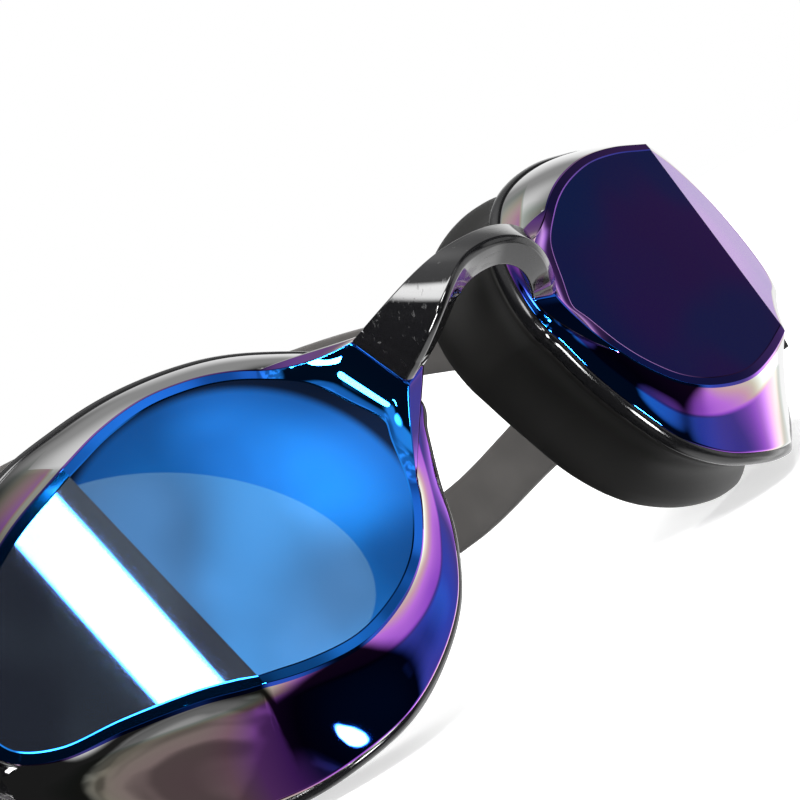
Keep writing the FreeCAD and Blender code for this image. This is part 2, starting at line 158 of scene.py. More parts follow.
# ---- the strap, from the clips' pivot, at rest ----
STRAP_THICK = 1.6
STRAP_WIDTH = 9.0
GROOVE = 0.45
GROOVE_DEPTH = 0.22
BAND_GAP = 0.8
TAIL_END = 30.0
POST_X = 62.9
POST_Y = 8.0
TURN_R = 1.15
MAIN_X = POST_X - TURN_R - STRAP_THICK / 2
TAIL_X = POST_X + TURN_R + STRAP_THICK / 2
BAND_Z = (STRAP_WIDTH + BAND_GAP) / 2
BAND_STEPS = 14
TAIL_RINGS = 34
TURN_RINGS = 13
EDGE_FLAT = 0.5
EDGE_ROUND = 0.15
UPPER_PLAN = [(MAIN_X, POST_Y), (MAIN_X, 20.0), (60.5, 34.0), (57.5, 66.0), (54.0, 97.0),
              (49.0, 130.0), (39.0, 158.0), (21.0, 173.0), (0.0, 177.0)]
LOWER_PLAN = [(MAIN_X, POST_Y), (MAIN_X, 20.0), (60.0, 34.0), (57.0, 60.0), (52.5, 90.0),
              (45.5, 118.0), (34.0, 138.0), (18.0, 149.0), (0.0, 152.0)]
UPPER_RISE = [(-20.0, BAND_Z), (POST_Y, BAND_Z), (26.0, BAND_Z), (42.0, 8.6), (66.0, 14.2),
              (97.0, 18.4), (143.0, 24.0), (190.0, 26.5)]
LOWER_DIP = [(-20.0, -BAND_Z), (POST_Y, -BAND_Z), (26.0, -BAND_Z), (42.0, -8.0), (64.0, -13.4)]
LOWER_FLAT = (88.0, 170.0)

# ---- the camera, in the worn frame ----
CAMERA_PLACE = (-140.7, -172.1, -37.4)
CAMERA_RIGHT = (0.6902, -0.3790, -0.6164)
CAMERA_UP = (0.4168, -0.4882, 0.7668)
CAMERA_LENS = 100.9

# ---- the floor, in metres ----
FLOOR_RADIUS = 3.0
FLOOR_DROP = 0.0002

PIVOT = np.array(next(j for j in frame["joints"] if j["name"] == "strap_swing")["pos_m"]) / MM
SIDES = (("left", 1), ("right", -1))


# ---------------------------------------------------------------- shader maths

class Sock:
    """A node socket that can be used in Python expressions."""

    def __init__(self, tree, socket):
        self.tree = tree
        self.socket = socket

    def math(self, operation, *others):
        node = self.tree.nodes.new("ShaderNodeMath")
        node.operation = operation
        for slot, value in zip(node.inputs, (self,) + others):
            plug(self.tree, slot, value)
        return Sock(self.tree, node.outputs[0])

    def __add__(self, other):
        return self.math("ADD", other)

    def __radd__(self, other):
        return self.math("ADD", other)

    def __sub__(self, other):
        return self.math("SUBTRACT", other)

    def __rsub__(self, other):
        return as_sock(self.tree, other).math("SUBTRACT", self)

    def __mul__(self, other):
        return self.math("MULTIPLY", other)

    def __rmul__(self, other):
        return self.math("MULTIPLY", other)

    def __truediv__(self, other):
        return self.math("DIVIDE", other)

    def __pow__(self, other):
        return self.math("POWER", other)


def as_sock(tree, value):
    """A plain number as a socket, so that it can stand on the left of an operator."""
    node = tree.nodes.new("ShaderNodeValue")
    node.outputs[0].default_value = value
    return Sock(tree, node.outputs[0])


def plug(tree, slot, value):
    """Link a socket, or set a plain value; a colour of three numbers gets full alpha."""
    if isinstance(value, Sock):
        tree.links.new(value.socket, slot)
    elif hasattr(slot.default_value, "__len__") and len(slot.default_value) == 4 and len(value) == 3:
        slot.default_value = (*value, 1.0)
    else:
        slot.default_value = value


class Shade:
    """A material's or world's node tree."""

    def __init__(self, owner):
        owner.use_nodes = True
        self.tree = owner.node_tree
        self.tree.nodes.clear()

    def add(self, kind, settings=None, out=0, inputs_in_order=None, **inputs):
        """A node of this type: settings first, then its sockets' values or links, by name or in order."""
        node = self.tree.nodes.new("ShaderNode" + kind)
        for name, value in (settings or {}).items():
            if name == "stops":
                self.set_stops(node.color_ramp, value)
            else:
                setattr(node, name, value)
        for slot, value in zip(node.inputs, inputs_in_order or ()):
            plug(self.tree, slot, value)
        for name, value in inputs.items():
            wanted = name.replace("_", " ")
            slot = next(s for s in node.inputs if s.name == wanted and s.enabled)
            plug(self.tree, slot, value)
        return Sock(self.tree, node.outputs[out]) if node.outputs else node

    @staticmethod
    def set_stops(ramp, stops):
        while len(ramp.elements) < len(stops):
            ramp.elements.new(1.0)
        for element, (place, colour) in zip(ramp.elements, stops):
            element.position = place
            element.color = (*colour, 1.0)

    def dot(self, a, b):
        """Dot product of two vectors."""
        return self.add("VectorMath", {"operation": "DOT_PRODUCT"}, 1, (a, b))

    def map_parts(self, name):
        """The two coordinates of one of the mesh's flat maps."""
        place = self.add("UVMap", {"uv_map": name})
        return [self.add("SeparateXYZ", None, part, (place,)) for part in (0, 1)]

    def mix(self, share, a, b):
        """Two colours mixed by a share."""
        node = self.tree.nodes.new("ShaderNodeMix")
        node.data_type = "RGBA"
        plug(self.tree, node.inputs[0], share)
        plug(self.tree, node.inputs[6], a)
        plug(self.tree, node.inputs[7], b)
        return Sock(self.tree, node.outputs[2])

    def soft_step(self, value, low, high):
        """0 below low, 1 above high, smooth between."""
        return self.add("MapRange", {"interpolation_type": "SMOOTHSTEP", "clamp": True},
                        Value=value, From_Min=low, From_Max=high, To_Min=0.0, To_Max=1.0)

    def noise(self, scale, detail=3.0, where=None, rough=0.5):
        place = where or self.add("TexCoord", out=3)
        return self.add("TexNoise", out=0, Vector=place, Scale=scale, Detail=detail,
                        Roughness=rough)

    def bump(self, height, strength, distance):
        return self.add("Bump", Height=height, Strength=strength, Distance=distance)

    def surface(self, **inputs):
        shader = self.add("BsdfPrincipled", **inputs)
        self.add("OutputMaterial", Surface=shader)


def material(name):
    """A new material and its empty node tree."""
    made = bpy.data.materials.new(name)
    return made, Shade(made)


# ------------------------------------------------------------------ materials

# Colour of the mirror film, from head-on to grazing: blue, navy, purple, gold, silver.
FILM = [(0.00, (0.002, 0.27, 0.95)), (0.17, (0.001, 0.14, 0.80)), (0.29, (0.008, 0.03, 0.36)),
        (0.40, (0.03, 0.012, 0.20)), (0.53, (0.24, 0.045, 0.50)), (0.65, (0.42, 0.12, 0.62)),
        (0.75, (0.50, 0.27, 0.36)), (0.85, (0.50, 0.45, 0.36)), (0.93, (0.52, 0.58, 0.53)),
        (1.0, (0.86, 0.86, 0.86))]
FACET_FILM = [(0.00, (0.002, 0.27, 0.95)), (0.16, (0.001, 0.25, 0.92)), (0.32, (0.03, 0.03, 0.42)),
              (0.42, (0.10, 0.04, 0.32)), (0.62, (0.34, 0.10, 0.62)), (0.82, (0.50, 0.22, 0.66)),
              (0.91, (0.46, 0.24, 0.62)), (1.0, (0.84, 0.72, 0.88))]
# Painted shade: an oval round the eye opening, near black outside its edge and darker blue towards it, where
# the dark gasket inside would show through.
SHADE_OVAL_MIDDLE = (34.0, -3.5)
SHADE_OVAL_HALF = (18.4, 17.6)
# Painted see-through light: a tilted paler oval on the front facet, standing for light seen through the
# lens's flat middle.
LIT_PANE_MIDDLE = (40.1, -1.5)
LIT_PANE_HALF = (17.8, 10.8)
LIT_PANE_TURN = math.radians(37.4)


def mirror_coat(look, side):
    """Blue mirror coating of the walls and rim: violet, gold and silver where the film is thin."""
    made, s = material("mirror_coat_" + ("left" if side > 0 else "right"))
    facing = s.add("LayerWeight", out=1, Blend=0.5)
    normal = s.add("TexCoord", out=1)
    steep = 1.0 - s.dot(normal, (side * 0.16, -0.95, 0.26))
    upward = s.soft_step(s.dot(normal, (0.0, 0.0, 1.0)), 0.45, 0.80)
    around, share = s.map_parts("wall")
    wall = 1.0 - s.soft_step(share, 0.96, 0.985)
    clouds = s.noise(70.0, 2.0)
    border = 0.42 + s.soft_step(around, 0.46, 0.62) * 0.40 + clouds * 0.08
    shoulder = s.soft_step(share - border, -0.07, 0.03) * wall
    crest = s.soft_step(share - border, 0.05, 0.55) * wall
    low = s.soft_step(around, 0.48, 0.54) * (1.0 - s.soft_step(around, 0.80, 0.86))
    foot = s.soft_step(around, 0.60, 0.69) * (1.0 - s.soft_step(around, 0.82, 0.88))
    thin = wall * (steep * 0.20 + upward * 0.20 + low * 0.10 + foot * 0.46)
    thin = thin + shoulder * 0.24 + crest * 0.12
    film = s.add("ValToRGB", {"stops": FILM}, Fac=facing + thin + clouds * 0.05 - 0.03)
    specks = s.soft_step(s.noise(900.0, 2.0), 0.72, 0.80)
    rough = look.mirror_rough + clouds * 0.012 + specks * 0.05
    s.surface(Base_Color=film, Metallic=1.0, Roughness=rough, Coat_Weight=0.3, Coat_Roughness=0.02,
              Coat_IOR=1.5)
    return made


def facet_coat(look, side):
    """The same film over the eye, with painted see-through light and shade: a paler oval, and a dark crescent
    of painted shade where the opening behind would show.
    """
    made, s = material("facet_coat_" + ("left" if side > 0 else "right"))
    facing = s.add("LayerWeight", out=1, Blend=0.5)
    film = s.add("ValToRGB", {"stops": FACET_FILM}, Fac=facing)
    across, height = s.map_parts("facet")
    u = across * 100.0
    v = height * 100.0 - 50.0
    depth = (((u - SHADE_OVAL_MIDDLE[0]) / SHADE_OVAL_HALF[0]) ** 2.0
             + ((v - SHADE_OVAL_MIDDLE[1]) / SHADE_OVAL_HALF[1]) ** 2.0)
    # Painted shade: near black just outside the oval, and a darker blue towards its edge.
    shadow = s.soft_step(depth, 0.93, 1.06)
    shade_fade = s.soft_step(depth, 0.35, 1.0)
    # Painted see-through light: paler inside the tilted oval, on the front facet, when seen head-on.
    cos, sin = math.cos(LIT_PANE_TURN), math.sin(LIT_PANE_TURN)
    along = (u - LIT_PANE_MIDDLE[0]) * cos + (v - LIT_PANE_MIDDLE[1]) * sin
    aside = (v - LIT_PANE_MIDDLE[1]) * cos - (u - LIT_PANE_MIDDLE[0]) * sin
    lit_pane = s.soft_step((along / LIT_PANE_HALF[0]) ** 2.0 + (aside / LIT_PANE_HALF[1]) ** 2.0, 1.012, 0.985)
    temple = s.soft_step(u - v * CREASE_LEAN, CREASE_X - 0.02, CREASE_X + 0.02)
    outer = s.soft_step(u, 45.0, 50.0)
    head_on = 1.0 - s.soft_step(facing, 0.18, 0.34)
    lit_window = lit_pane * (1.0 - temple) * head_on
    drift = s.soft_step(s.noise(70.0, 1.5), 0.40, 0.62)
    edge_shaded = s.mix(shade_fade * 0.55, film, (0.0, 0.06, 0.34))
    tint = s.mix(drift * 0.5, edge_shaded, (0.0, 0.08, 0.38))
    seen = s.mix(lit_window * 0.22, tint, (0.10, 0.60, 0.85))
    # The painted shadow crescent is laid over the colour here, only on the front facet and when seen head-on.
    shaded = s.mix(shadow * (1.0 - temple) * head_on * 0.97, seen, (0.0, 0.002, 0.01))
    mirror = s.add("BsdfPrincipled", Base_Color=shaded, Metallic=1.0, Roughness=0.4 * look.mirror_rough,
                   Specular_Tint=(0.62, 0.40, 0.80, 1.0), Coat_Weight=0.3, Coat_Roughness=0.02,
                   Coat_IOR=1.5)
    # Painted see-through light: a diffuse smoke-tinted layer mixed in over the paler oval and over the temple
    # facet.
    smoke = s.mix(drift, (0.20, 0.25, 0.32), (0.12, 0.14, 0.19))
    inside = s.add("BsdfPrincipled", Base_Color=smoke, Roughness=0.6)
    through = lit_window * 0.10 + temple * head_on * (0.10 - outer * 0.06)
    s.add("OutputMaterial", Surface=s.add("MixShader", inputs_in_order=(through, mirror, inside)))
    return made


def inner_lens(look):
    """Bare inside of the lens, smoke-tinted and clear enough to look glossy."""
    made, s = material("inner_lens")
    cloud = s.noise(80.0, 2.0)
    colour = s.mix(cloud, (0.010, 0.014, 0.035), (0.018, 0.024, 0.055))
    s.surface(Base_Color=colour, Roughness=0.08, Coat_Weight=0.6, Coat_Roughness=0.03)
    return made


def gloss_black(look, name, scratches, polish=1.0):
    """Polished black plastic with fine wiping scratches and dust."""
    made, s = material(name)
    where = s.add("TexCoord", out=3)
    stretched = s.add("Mapping", Vector=where, Scale=(260.0, 2600.0, 900.0),
                      Rotation=(0.3, 0.2, 0.6))
    hair = s.soft_step(s.add("TexNoise", out=0, Vector=stretched, Scale=1.0, Detail=2.0), 0.60, 0.68)
    dust = s.soft_step(s.noise(1500.0, 2.0, where), 0.70, 0.78)
    rough = 0.22 - 0.15 * polish + hair * 0.22 * scratches + dust * 0.3 * scratches
    colour = s.mix(dust * 0.4 * scratches, look.black, (0.05, 0.05, 0.05))
    bump = s.bump(hair + dust, 0.05, 0.00004)
    s.surface(Base_Color=colour, Roughness=rough, Normal=bump, Coat_Weight=0.7 * polish, Coat_Roughness=0.05)
    return made


def soft_rubber(look):
    """Satin silicone of the gaskets, with a faint moulded grain."""
    made, s = material("soft_rubber")
    grain = s.noise(2600.0, 3.0)
    broad = s.noise(120.0, 3.0)
    rough = 0.42 + broad * 0.14
    colour = s.mix(broad, look.rubber, (0.0065, 0.0062, 0.0058))
    bump = s.bump(grain, 0.12, 0.00003)
    s.surface(Base_Color=colour, Roughness=rough, Normal=bump, Specular_IOR_Level=0.28,
              Sheen_Weight=0.03, Sheen_Roughness=0.4)
    return made


def strap_rubber(look):
    """Matt dark grey silicone of the strap."""
    made, s = material("strap_rubber")
    grain = s.noise(3200.0, 3.0)
    wear = s.noise(90.0, 4.0)
    colour = s.mix(s.soft_step(wear, 0.35, 0.75), look.strap, (0.062, 0.058, 0.055))
    rough = 0.52 + wear * 0.16
    bump = s.bump(grain + wear * 0.6, 0.18, 0.00004)
    s.surface(Base_Color=colour, Roughness=rough, Normal=bump, Sheen_Weight=0.12,
              Sheen_Roughness=0.45)
    return made


def satin_steel(look):
    """Brushed stainless steel of the posts and washers."""
    made, s = material("satin_steel")
    where = s.add("TexCoord", out=3)
    lines = s.add("Mapping", Vector=where, Scale=(4000.0, 4000.0, 150.0))
    brush = s.add("TexNoise", out=0, Vector=lines, Scale=1.0, Detail=2.0)
    colour = s.mix(brush, (0.52, 0.52, 0.54), (0.68, 0.68, 0.69))
    s.surface(Base_Color=colour, Metallic=1.0, Roughness=0.24 + brush * 0.16)
    return made


def fine_matt(look):
    """Spark-textured matt plastic of the release buttons."""
    made, s = material("fine_matt")
    spark = s.noise(2200.0, 4.0)
    colour = s.mix(spark, (0.030, 0.030, 0.033), (0.060, 0.060, 0.064))
    s.surface(Base_Color=colour, Roughness=0.5 + spark * 0.2, Normal=s.bump(spark, 0.35, 0.00006))
    return made


# ----------------------------------------------------------------------- mesh

def to_row(points):
    """Worn-frame millimetres to the row frame in metres."""
    angle = math.radians(REST_TILT)
    cos, sin = math.cos(angle), math.sin(angle)
    p = np.asarray(points, float)
    y = p[..., 1] * cos + p[..., 2] * sin
    z = p[..., 2] * cos - p[..., 1] * sin
    shift_y = PIVOT[1] - PIVOT_WORN_Y * cos
    shift_z = PIVOT[2] + PIVOT_WORN_Y * sin
    return np.stack([p[..., 0], y + shift_y, z + shift_z], -1) * MM


def from_row(points):
    """Row frame in metres back to worn-frame millimetres."""
    angle = math.radians(REST_TILT)
    cos, sin = math.cos(angle), math.sin(angle)
    p = points / MM
    y = p[:, 1] - (PIVOT[1] - PIVOT_WORN_Y * cos)
    z = p[:, 2] - (PIVOT[2] + PIVOT_WORN_Y * sin)
    return np.stack([p[:, 0], y * cos - z * sin, y * sin + z * cos], -1)


def pivot_to_row(points):
    """Millimetres from the clips' pivot to the row frame in metres."""
    return (np.asarray(points, float) + [0.0, PIVOT[1], PIVOT[2]]) * MM


def loop_curve(points, steps):
    """A closed smooth curve through the points."""
    p = np.asarray(points, float)
    before, after, next_one = np.roll(p, 1, 0), np.roll(p, -1, 0), np.roll(p, -2, 0)
    t = (np.arange(steps) / steps)[None, :, None]
    a, b, c, d = before[:, None], p[:, None], after[:, None], next_one[:, None]
    out = 0.5 * (2 * b + (c - a) * t + (2 * a - 5 * b + 4 * c - d) * t ** 2
                 + (3 * b - a - 3 * c + d) * t ** 3)
    return out.reshape(-1, p.shape[1])


def open_curve(points, steps):
    """An open smooth curve through the points."""
    p = np.asarray(points, float)
    first, last = 2 * p[0] - p[1], 2 * p[-1] - p[-2]
    q = np.vstack([first, p, last])
    t = (np.arange(steps) / steps)[None, :, None]
    a, b, c, d = q[:-3, None], q[1:-2, None], q[2:-1, None], q[3:, None]
    out = 0.5 * (2 * b + (c - a) * t + (2 * a - 5 * b + 4 * c - d) * t ** 2
                 + (3 * b - a - 3 * c + d) * t ** 3)
    return np.vstack([out.reshape(-1, p.shape[1]), p[-1:]])


def crease_x(z):
    """Where the crease between the two facets is at a height."""
    return CREASE_X + CREASE_LEAN * z


def facet_depth(x, z):
    """How far back the facets are at a place on the front."""
    front = math.tan(math.radians(FRONT_WRAP)) * (x - NOSE_X)
    return front + TEMPLE_SLOPE * np.maximum(0.0, x - crease_x(z))


def inset(ring, distance, back=0.0):
    """Move a ring towards the cup's middle, and back by the given depth."""
    along = np.roll(ring, -1, 0) - np.roll(ring, 1, 0)
    inward = np.stack([-along[:, 2], np.zeros(len(ring)), along[:, 0]], -1)
    inward /= np.linalg.norm(inward, axis=1)[:, None]
    return ring + inward * distance + np.array([0.0, back, 0.0])


class Build:
    """Vertices and faces gathered ring by ring."""

    def __init__(self):
        self.points = []
        self.faces = []
        self.paints = []
        self.flat = []
        self.sharp = set()
        self.count = 0

    def ring(self, points):
        """Add a ring's points and return their numbers."""
        first = self.count
        self.points.append(np.asarray(points, float))
        self.count += len(points)
        return list(range(first, self.count))

    def face(self, face, paint=0, flat=False):
        self.faces.append(face)
        self.paints.append(paint)
        self.flat.append(flat)

    def band(self, a, b, paint=0, closed=True):
        """Faces between two rings."""
        last = len(a) if closed else len(a) - 1
        for i in range(last):
            j = (i + 1) % len(a)
            self.face([a[i], a[j], b[j], b[i]], paint)

    def bands(self, rings, paint=0, closed=True):
        """Rings joined one after another."""
        made = [self.ring(r) for r in rings]
        for a, b in zip(made[:-1], made[1:]):
            self.band(a, b, paint, closed)
        return made

    def crisp(self, ring, closed=True):
        """Keep the shading sharp across this ring."""
        pairs = zip(ring, ring[1:] + ring[:1] if closed else ring[1:])
        self.sharp.update(tuple(sorted(p)) for p in pairs)

    def object(self, name, place, materials):
        """The finished piece, with its points moved into the row frame by place."""
        mesh = bpy.data.meshes.new(name)
        mesh.from_pydata(place(np.vstack(self.points)).tolist(), [], self.faces)
        for made in materials:
            mesh.materials.append(made)
        mesh.polygons.foreach_set("material_index", self.paints)
        mesh.polygons.foreach_set("use_smooth", [not f for f in self.flat])
        for edge in mesh.edges:
            if tuple(sorted(edge.vertices)) in self.sharp:
                edge.use_edge_sharp = True
        mesh.update()
        made = bpy.data.objects.new(name, mesh)
        bpy.context.scene.collection.objects.link(made)
        turn_outward(made)
        return made


def turn_outward(piece):
    """Face normals consistently outward."""
    work = bmesh.new()
    work.from_mesh(piece.data)
    bmesh.ops.recalc_face_normals(work, faces=work.faces)
    work.to_mesh(piece.data)
    work.free()


def cup_rings():
    """The cup's dense rings: rim, flange and gasket lip."""
    rim = loop_curve(RIM, STEPS)
    rim = np.stack([rim[:, 0], facet_depth(rim[:, 0], rim[:, 1]), rim[:, 1]], -1)
    return rim, loop_curve(FLANGE, STEPS), loop_curve(LIP, STEPS)


def facet_ring(rim, distance, deeper=0.0):
    """A ring on the facets, inset from the rim, with its crease ends on the crease."""
    ring = inset(rim, distance)
    for i in (0, CREASE_END * STEPS):
        ring[i, 0] = crease_x(ring[i, 2])
        for way in (-1, 1):
            end = ring[(i + 4 * way) % len(ring)].copy()
            for k in (1, 2, 3):
                ring[(i + k * way) % len(ring)] = ring[i] + (end - ring[i]) * k / 4
    ring[:, 1] = facet_depth(ring[:, 0], ring[:, 2]) + deeper
    return ring


def fill_facets(build, ring, paint):
    """The two flat facets inside a ring of the lens."""
    foot = CREASE_END * STEPS
    build.face(ring[: foot + 1], paint, True)
    build.face(ring[foot:] + ring[:1], paint, True)
    build.crisp([ring[0], ring[foot]], False)


def bezier(points, share):
    """A point of a cubic Bezier curve."""
    a, b, c, d = (np.asarray(p, float) for p in points)
    rest = 1.0 - share
    return a * rest ** 3 + 3 * b * rest ** 2 * share + 3 * c * rest * share ** 2 + d * share ** 3


def arch_corners(share):
    """The bridge's four corners: share 0 is the joint, 1 the middle of the nose."""
    return np.array([bezier(e, share) for e in (ARCH_TOP, ARCH_FRONT, ARCH_UNDER, ARCH_BACK)])


def rounded(corners, radius, steps=3):
    """A closed section with each corner cut by a small round."""
    count = len(corners)
    out = []
    for i in range(count):
        p, before, after = corners[i], corners[i - 1], corners[(i + 1) % count]
        a = p + (before - p) / np.linalg.norm(before - p) * radius
        b = p + (after - p) / np.linalg.norm(after - p) * radius
        for k in range(steps + 1):
            t = k / steps
            out.append((1 - t) ** 2 * a + 2 * t * (1 - t) * p + t * t * b)
    return np.array(out)


def side_of(points, side):
    """The points on the wearer's left as they are, or mirrored to the right."""
    return points * np.array([side, 1.0, 1.0])


def outward(rim, flange):
    """Unit direction out of the wall between the rim and the flange."""
    along = np.roll(rim, -1, 0) - np.roll(rim, 1, 0)
    up = rim - flange
    out = np.cross(up, along)
    out /= np.linalg.norm(out, axis=1)[:, None]
    return -out


def wall_ring(rim, flange, share, look):
    """A ring of the lens wall, from the flange at 0 to the rim at 1: hollow below, swollen above.

    The factors 4 and 6.75 give the swell and the hollow a height of 1 at their fullest.
    """
    turn = 2 * math.pi * (np.arange(len(rim)) / STEPS - SWELL_STATION) / len(RIM)
    above = 0.5 + 0.5 * np.clip(1.6 * np.cos(turn), -1, 1)
    swell = look.wall_bulge * 4 * share * (1 - share)
    hollow = look.wall_hollow * 6.75 * share ** 2 * (1 - share)
    depth = swell * above - hollow * (1 - above)
    return flange + (rim - flange) * share + outward(rim, flange) * depth[:, None]


def tab_contours(edge, wall):
    """Where the rim's edge and the wall go so that they form the tab, and how fully they do."""
    first, top, low, last = (round(s * STEPS) for s in TAB_STATIONS)
    joint = arch_corners(0.0)
    front, back, weight = edge.copy(), wall.copy(), np.zeros(len(edge))
    for k in range(first, last + 1):
        if k < top:
            share = (k - first) / (top - first)
            front[k] = bezier((edge[first], *TAB_TOP_BEND, joint[0]), share)
            back[k] = bezier((wall[first], *TAB_BACK_BEND, joint[3]), share)
        elif k <= low:
            share = (k - top) / (low - top)
            front[k] = joint[0] + (joint[1] - joint[0]) * share
            back[k] = joint[3] + (joint[2] - joint[3]) * share
        else:
            share = (last - k) / (last - low)
            front[k] = bezier((joint[1], *TAB_LOW_BEND, edge[last]), 1 - share)
            back[k] = bezier((joint[2], *TAB_UNDER_BEND, wall[last]), 1 - share)
        weight[k] = 1.0 if top <= k <= low else share * share * (3 - 2 * share)
    return front, back, weight[:, None]


def tab_front(border, front, weight):
    """Rings from the facet's border to the edge: the rim's land, or the tab's hollow front face."""
    wrap = math.radians(FRONT_WRAP)
    plane = np.array([-math.sin(wrap), math.cos(wrap), 0.0])
    reach = front - border
    length = np.linalg.norm(reach, axis=1)[:, None]
    flat = reach - (reach @ plane)[:, None] * plane
    near = border + weight * flat * TAB_FULLNESS[0] + (1 - weight) * reach / 3
    far = front - weight * TAB_FORWARD * length * TAB_FULLNESS[1] - (1 - weight) * reach / 3
    return [bezier((border, near, far, front), share) for share in LAND_SHARES]


def add_tongue(build, side):
    """The flat lug behind the temple, with the eye for the clip's pin."""
    turns = np.linspace(0, 2 * math.pi, 65)[:-1]
    reach = []
    for turn in turns:
        up, back = abs(math.sin(turn)), -math.cos(turn)
        straight = min(TONGUE_R / max(up, 1e-6), TONGUE_LENGTH / max(back, 1e-6))
        reach.append(straight if back > 0 else TONGUE_R)
    reach = np.array(reach)
    inner, outer = PIVOT_X - TONGUE_THICK, PIVOT_X
    rings = []
    eye = np.full(len(turns), PIN_EYE)
    for x, size in ((inner, reach - TONGUE_EDGE), (inner + TONGUE_EDGE, reach),
                    (outer - TONGUE_EDGE, reach), (outer, reach - TONGUE_EDGE),
                    (outer, eye + EYE_EDGE), (outer - EYE_EDGE, eye),
                    (inner + EYE_EDGE, eye), (inner, eye + EYE_EDGE)):
        y = PIVOT_WORN_Y + size * np.cos(turns)
        rings.append(side_of(np.stack([0 * y + x, y, size * np.sin(turns)], -1), side))
    made = build.bands(rings, 0)
    build.band(made[-1], made[0], 0)
    for ring in made:
        build.crisp(ring)


def facet_map(piece, side):
    """A flat map over the facets: across and up, in tenths of a metre round the middle."""
    layer = piece.data.uv_layers.new(name="facet")
    worn = from_row(np.array([v.co for v in piece.data.vertices]))
    for loop in piece.data.loops:
        p = worn[loop.vertex_index]
        layer.data[loop.index].uv = (side * p[0] / 100.0, p[2] / 100.0 + 0.5)


def wall_map(piece, shares, count):
    """A map round the walls: the way round the rim, and the share of the wall's height."""
    layer = piece.data.uv_layers.new(name="wall")
    for face in piece.data.polygons:
        ways = [(v % count) / count for v in face.vertices]
        wraps = max(ways) - min(ways) > 0.5
        for loop, vertex, way in zip(face.loop_indices, face.vertices, ways):
            ring = vertex // count
            share = shares[ring] if ring < len(shares) else 1.0
            layer.data[loop].uv = (way + 1.0 if wraps and way < 0.5 else way, share)


def make_lens(look, name, side, materials):
    """A lens cup: wall, rim, tab, tongue, the two facets and a lining inside."""
    rim, flange, _ = cup_rings()
    build = Build()
    border = facet_ring(rim, RIM_LAND)
    step = facet_ring(rim, RIM_LAND - FACET_STEP_WIDE, -FACET_STEP_DEEP)
    edge = rim + np.array([0.0, RIM_ROUND, 0.0])
    wall_top = wall_ring(edge, flange, WALL_TOP, look)
    front, back, weight = tab_contours(edge, wall_top)
    land = tab_front(step, front, weight)
    joint_in = front + (back - front) * JOINT_BEVEL
    joint_out = front + (back - front) * (1.0 - JOINT_BEVEL)
    rings = [inset(flange, 0.0, FLANGE_THICK), flange]
    for share in WALL_SHARES:
        ring = wall_ring(edge, flange, share, look)
        pull = weight * max(0.0, share - TAB_FOOT) / (1.0 - TAB_FOOT)
        rings.append(ring + (back - ring) * pull)
    rings += [back, joint_out, joint_in, front] + land[::-1] + [step]
    made = build.bands([side_of(r, side) for r in rings], 0)
    edge_ring = build.ring(side_of(border, side))
    build.band(made[-1], edge_ring, 0)
    build.crisp(edge_ring)
    build.crisp(made[-1])
    for i in (0, CREASE_END * STEPS):
        build.crisp([ring[i] for ring in made[-len(land) - 2:]] + [edge_ring[i]], False)
    top, low = (round(s * STEPS) for s in TAB_STATIONS[1:3])
    for ring in (made[-len(land) - 2], made[-len(land) - 5]):
        build.crisp(ring[top: low + 1], False)
    fill_facets(build, edge_ring, 1)
    inner = facet_ring(rim, LENS_WALL, LENS_WALL * LINING_DEPTH)
    inner_flange = inset(flange, LENS_WALL, LENS_WALL * LINING_FOOT)
    inside = [inner_flange + (inner - inner_flange) * share for share in LINING_SHARES]
    lining = build.bands([side_of(r, side) for r in inside], 2)
    build.band(made[0], lining[0], 2)
    last_ring = build.ring(side_of(inner, side))
    build.band(lining[-1], last_ring, 2)
    build.crisp(last_ring)
    fill_facets(build, last_ring, 2)
    add_tongue(build, side)
    piece = build.object(name, to_row, materials)
    facet_map(piece, side)
    wall_map(piece, (0.0, 0.0) + WALL_SHARES + (WALL_TOP,), len(rim))
    return piece


def make_seal_frame(name, side, materials):
    """The dark band behind the lens flange, with a rounded outer edge."""
    _, flange, _ = cup_rings()
    build = Build()
    made = build.bands([side_of(inset(flange, i, b), side) for i, b in SEAL_PROFILE], 0)
    build.band(made[-1], made[0], 0)
    return build.object(name, to_row, materials)


def make_gasket(name, side, materials):
    """Soft skirt, pinched at its middle and flared to a rounded lip."""
    _, flange, lip = cup_rings()
    base = inset(flange, *SKIRT_ROOT)
    rings = [inset(base, *SKIRT_TUCK)]
    for k in range(SKIRT_RINGS + 1):
        share = k / SKIRT_RINGS
        pinch = SKIRT_PINCH * math.sin(math.pi * min(1.0, share * 1.08)) ** 1.4
        rings.append(inset(base + (lip - base) * share, pinch))
    for distance, back in LIP_PROFILE:
        rings.append(inset(lip, distance, back))
    base_in = inset(flange, *ROOT_INSIDE)
    lip_in = inset(lip, *LIP_INSIDE)
    for k in range(HOLLOW_RINGS + 1):
        share = k / HOLLOW_RINGS
        ring = lip_in + (base_in - lip_in) * share
        rings.append(inset(ring, HOLLOW_DEEP * math.sin(math.pi * share)))
    build = Build()
    made = build.bands([side_of(r, side) for r in rings], 0)
    build.band(made[-1], made[0], 0)
    return build.object(name, to_row, materials)


def bridge_section(share, shrink, side):
    """The bridge's cross-section: three soft corners and a bevel along the lower front edge."""
    top, front, under, back = arch_corners(share)
    toward_top = (top - front) / np.linalg.norm(top - front)
    toward_under = (under - front) / np.linalg.norm(under - front)
    corners = np.array([top, front + toward_top * BRIDGE_BEVEL[0],
                        front + toward_under * BRIDGE_BEVEL[1], under, back])
    middle = corners.mean(0)
    return side_of(rounded(middle + (corners - middle) * shrink, BRIDGE_ROUND, 4), side)


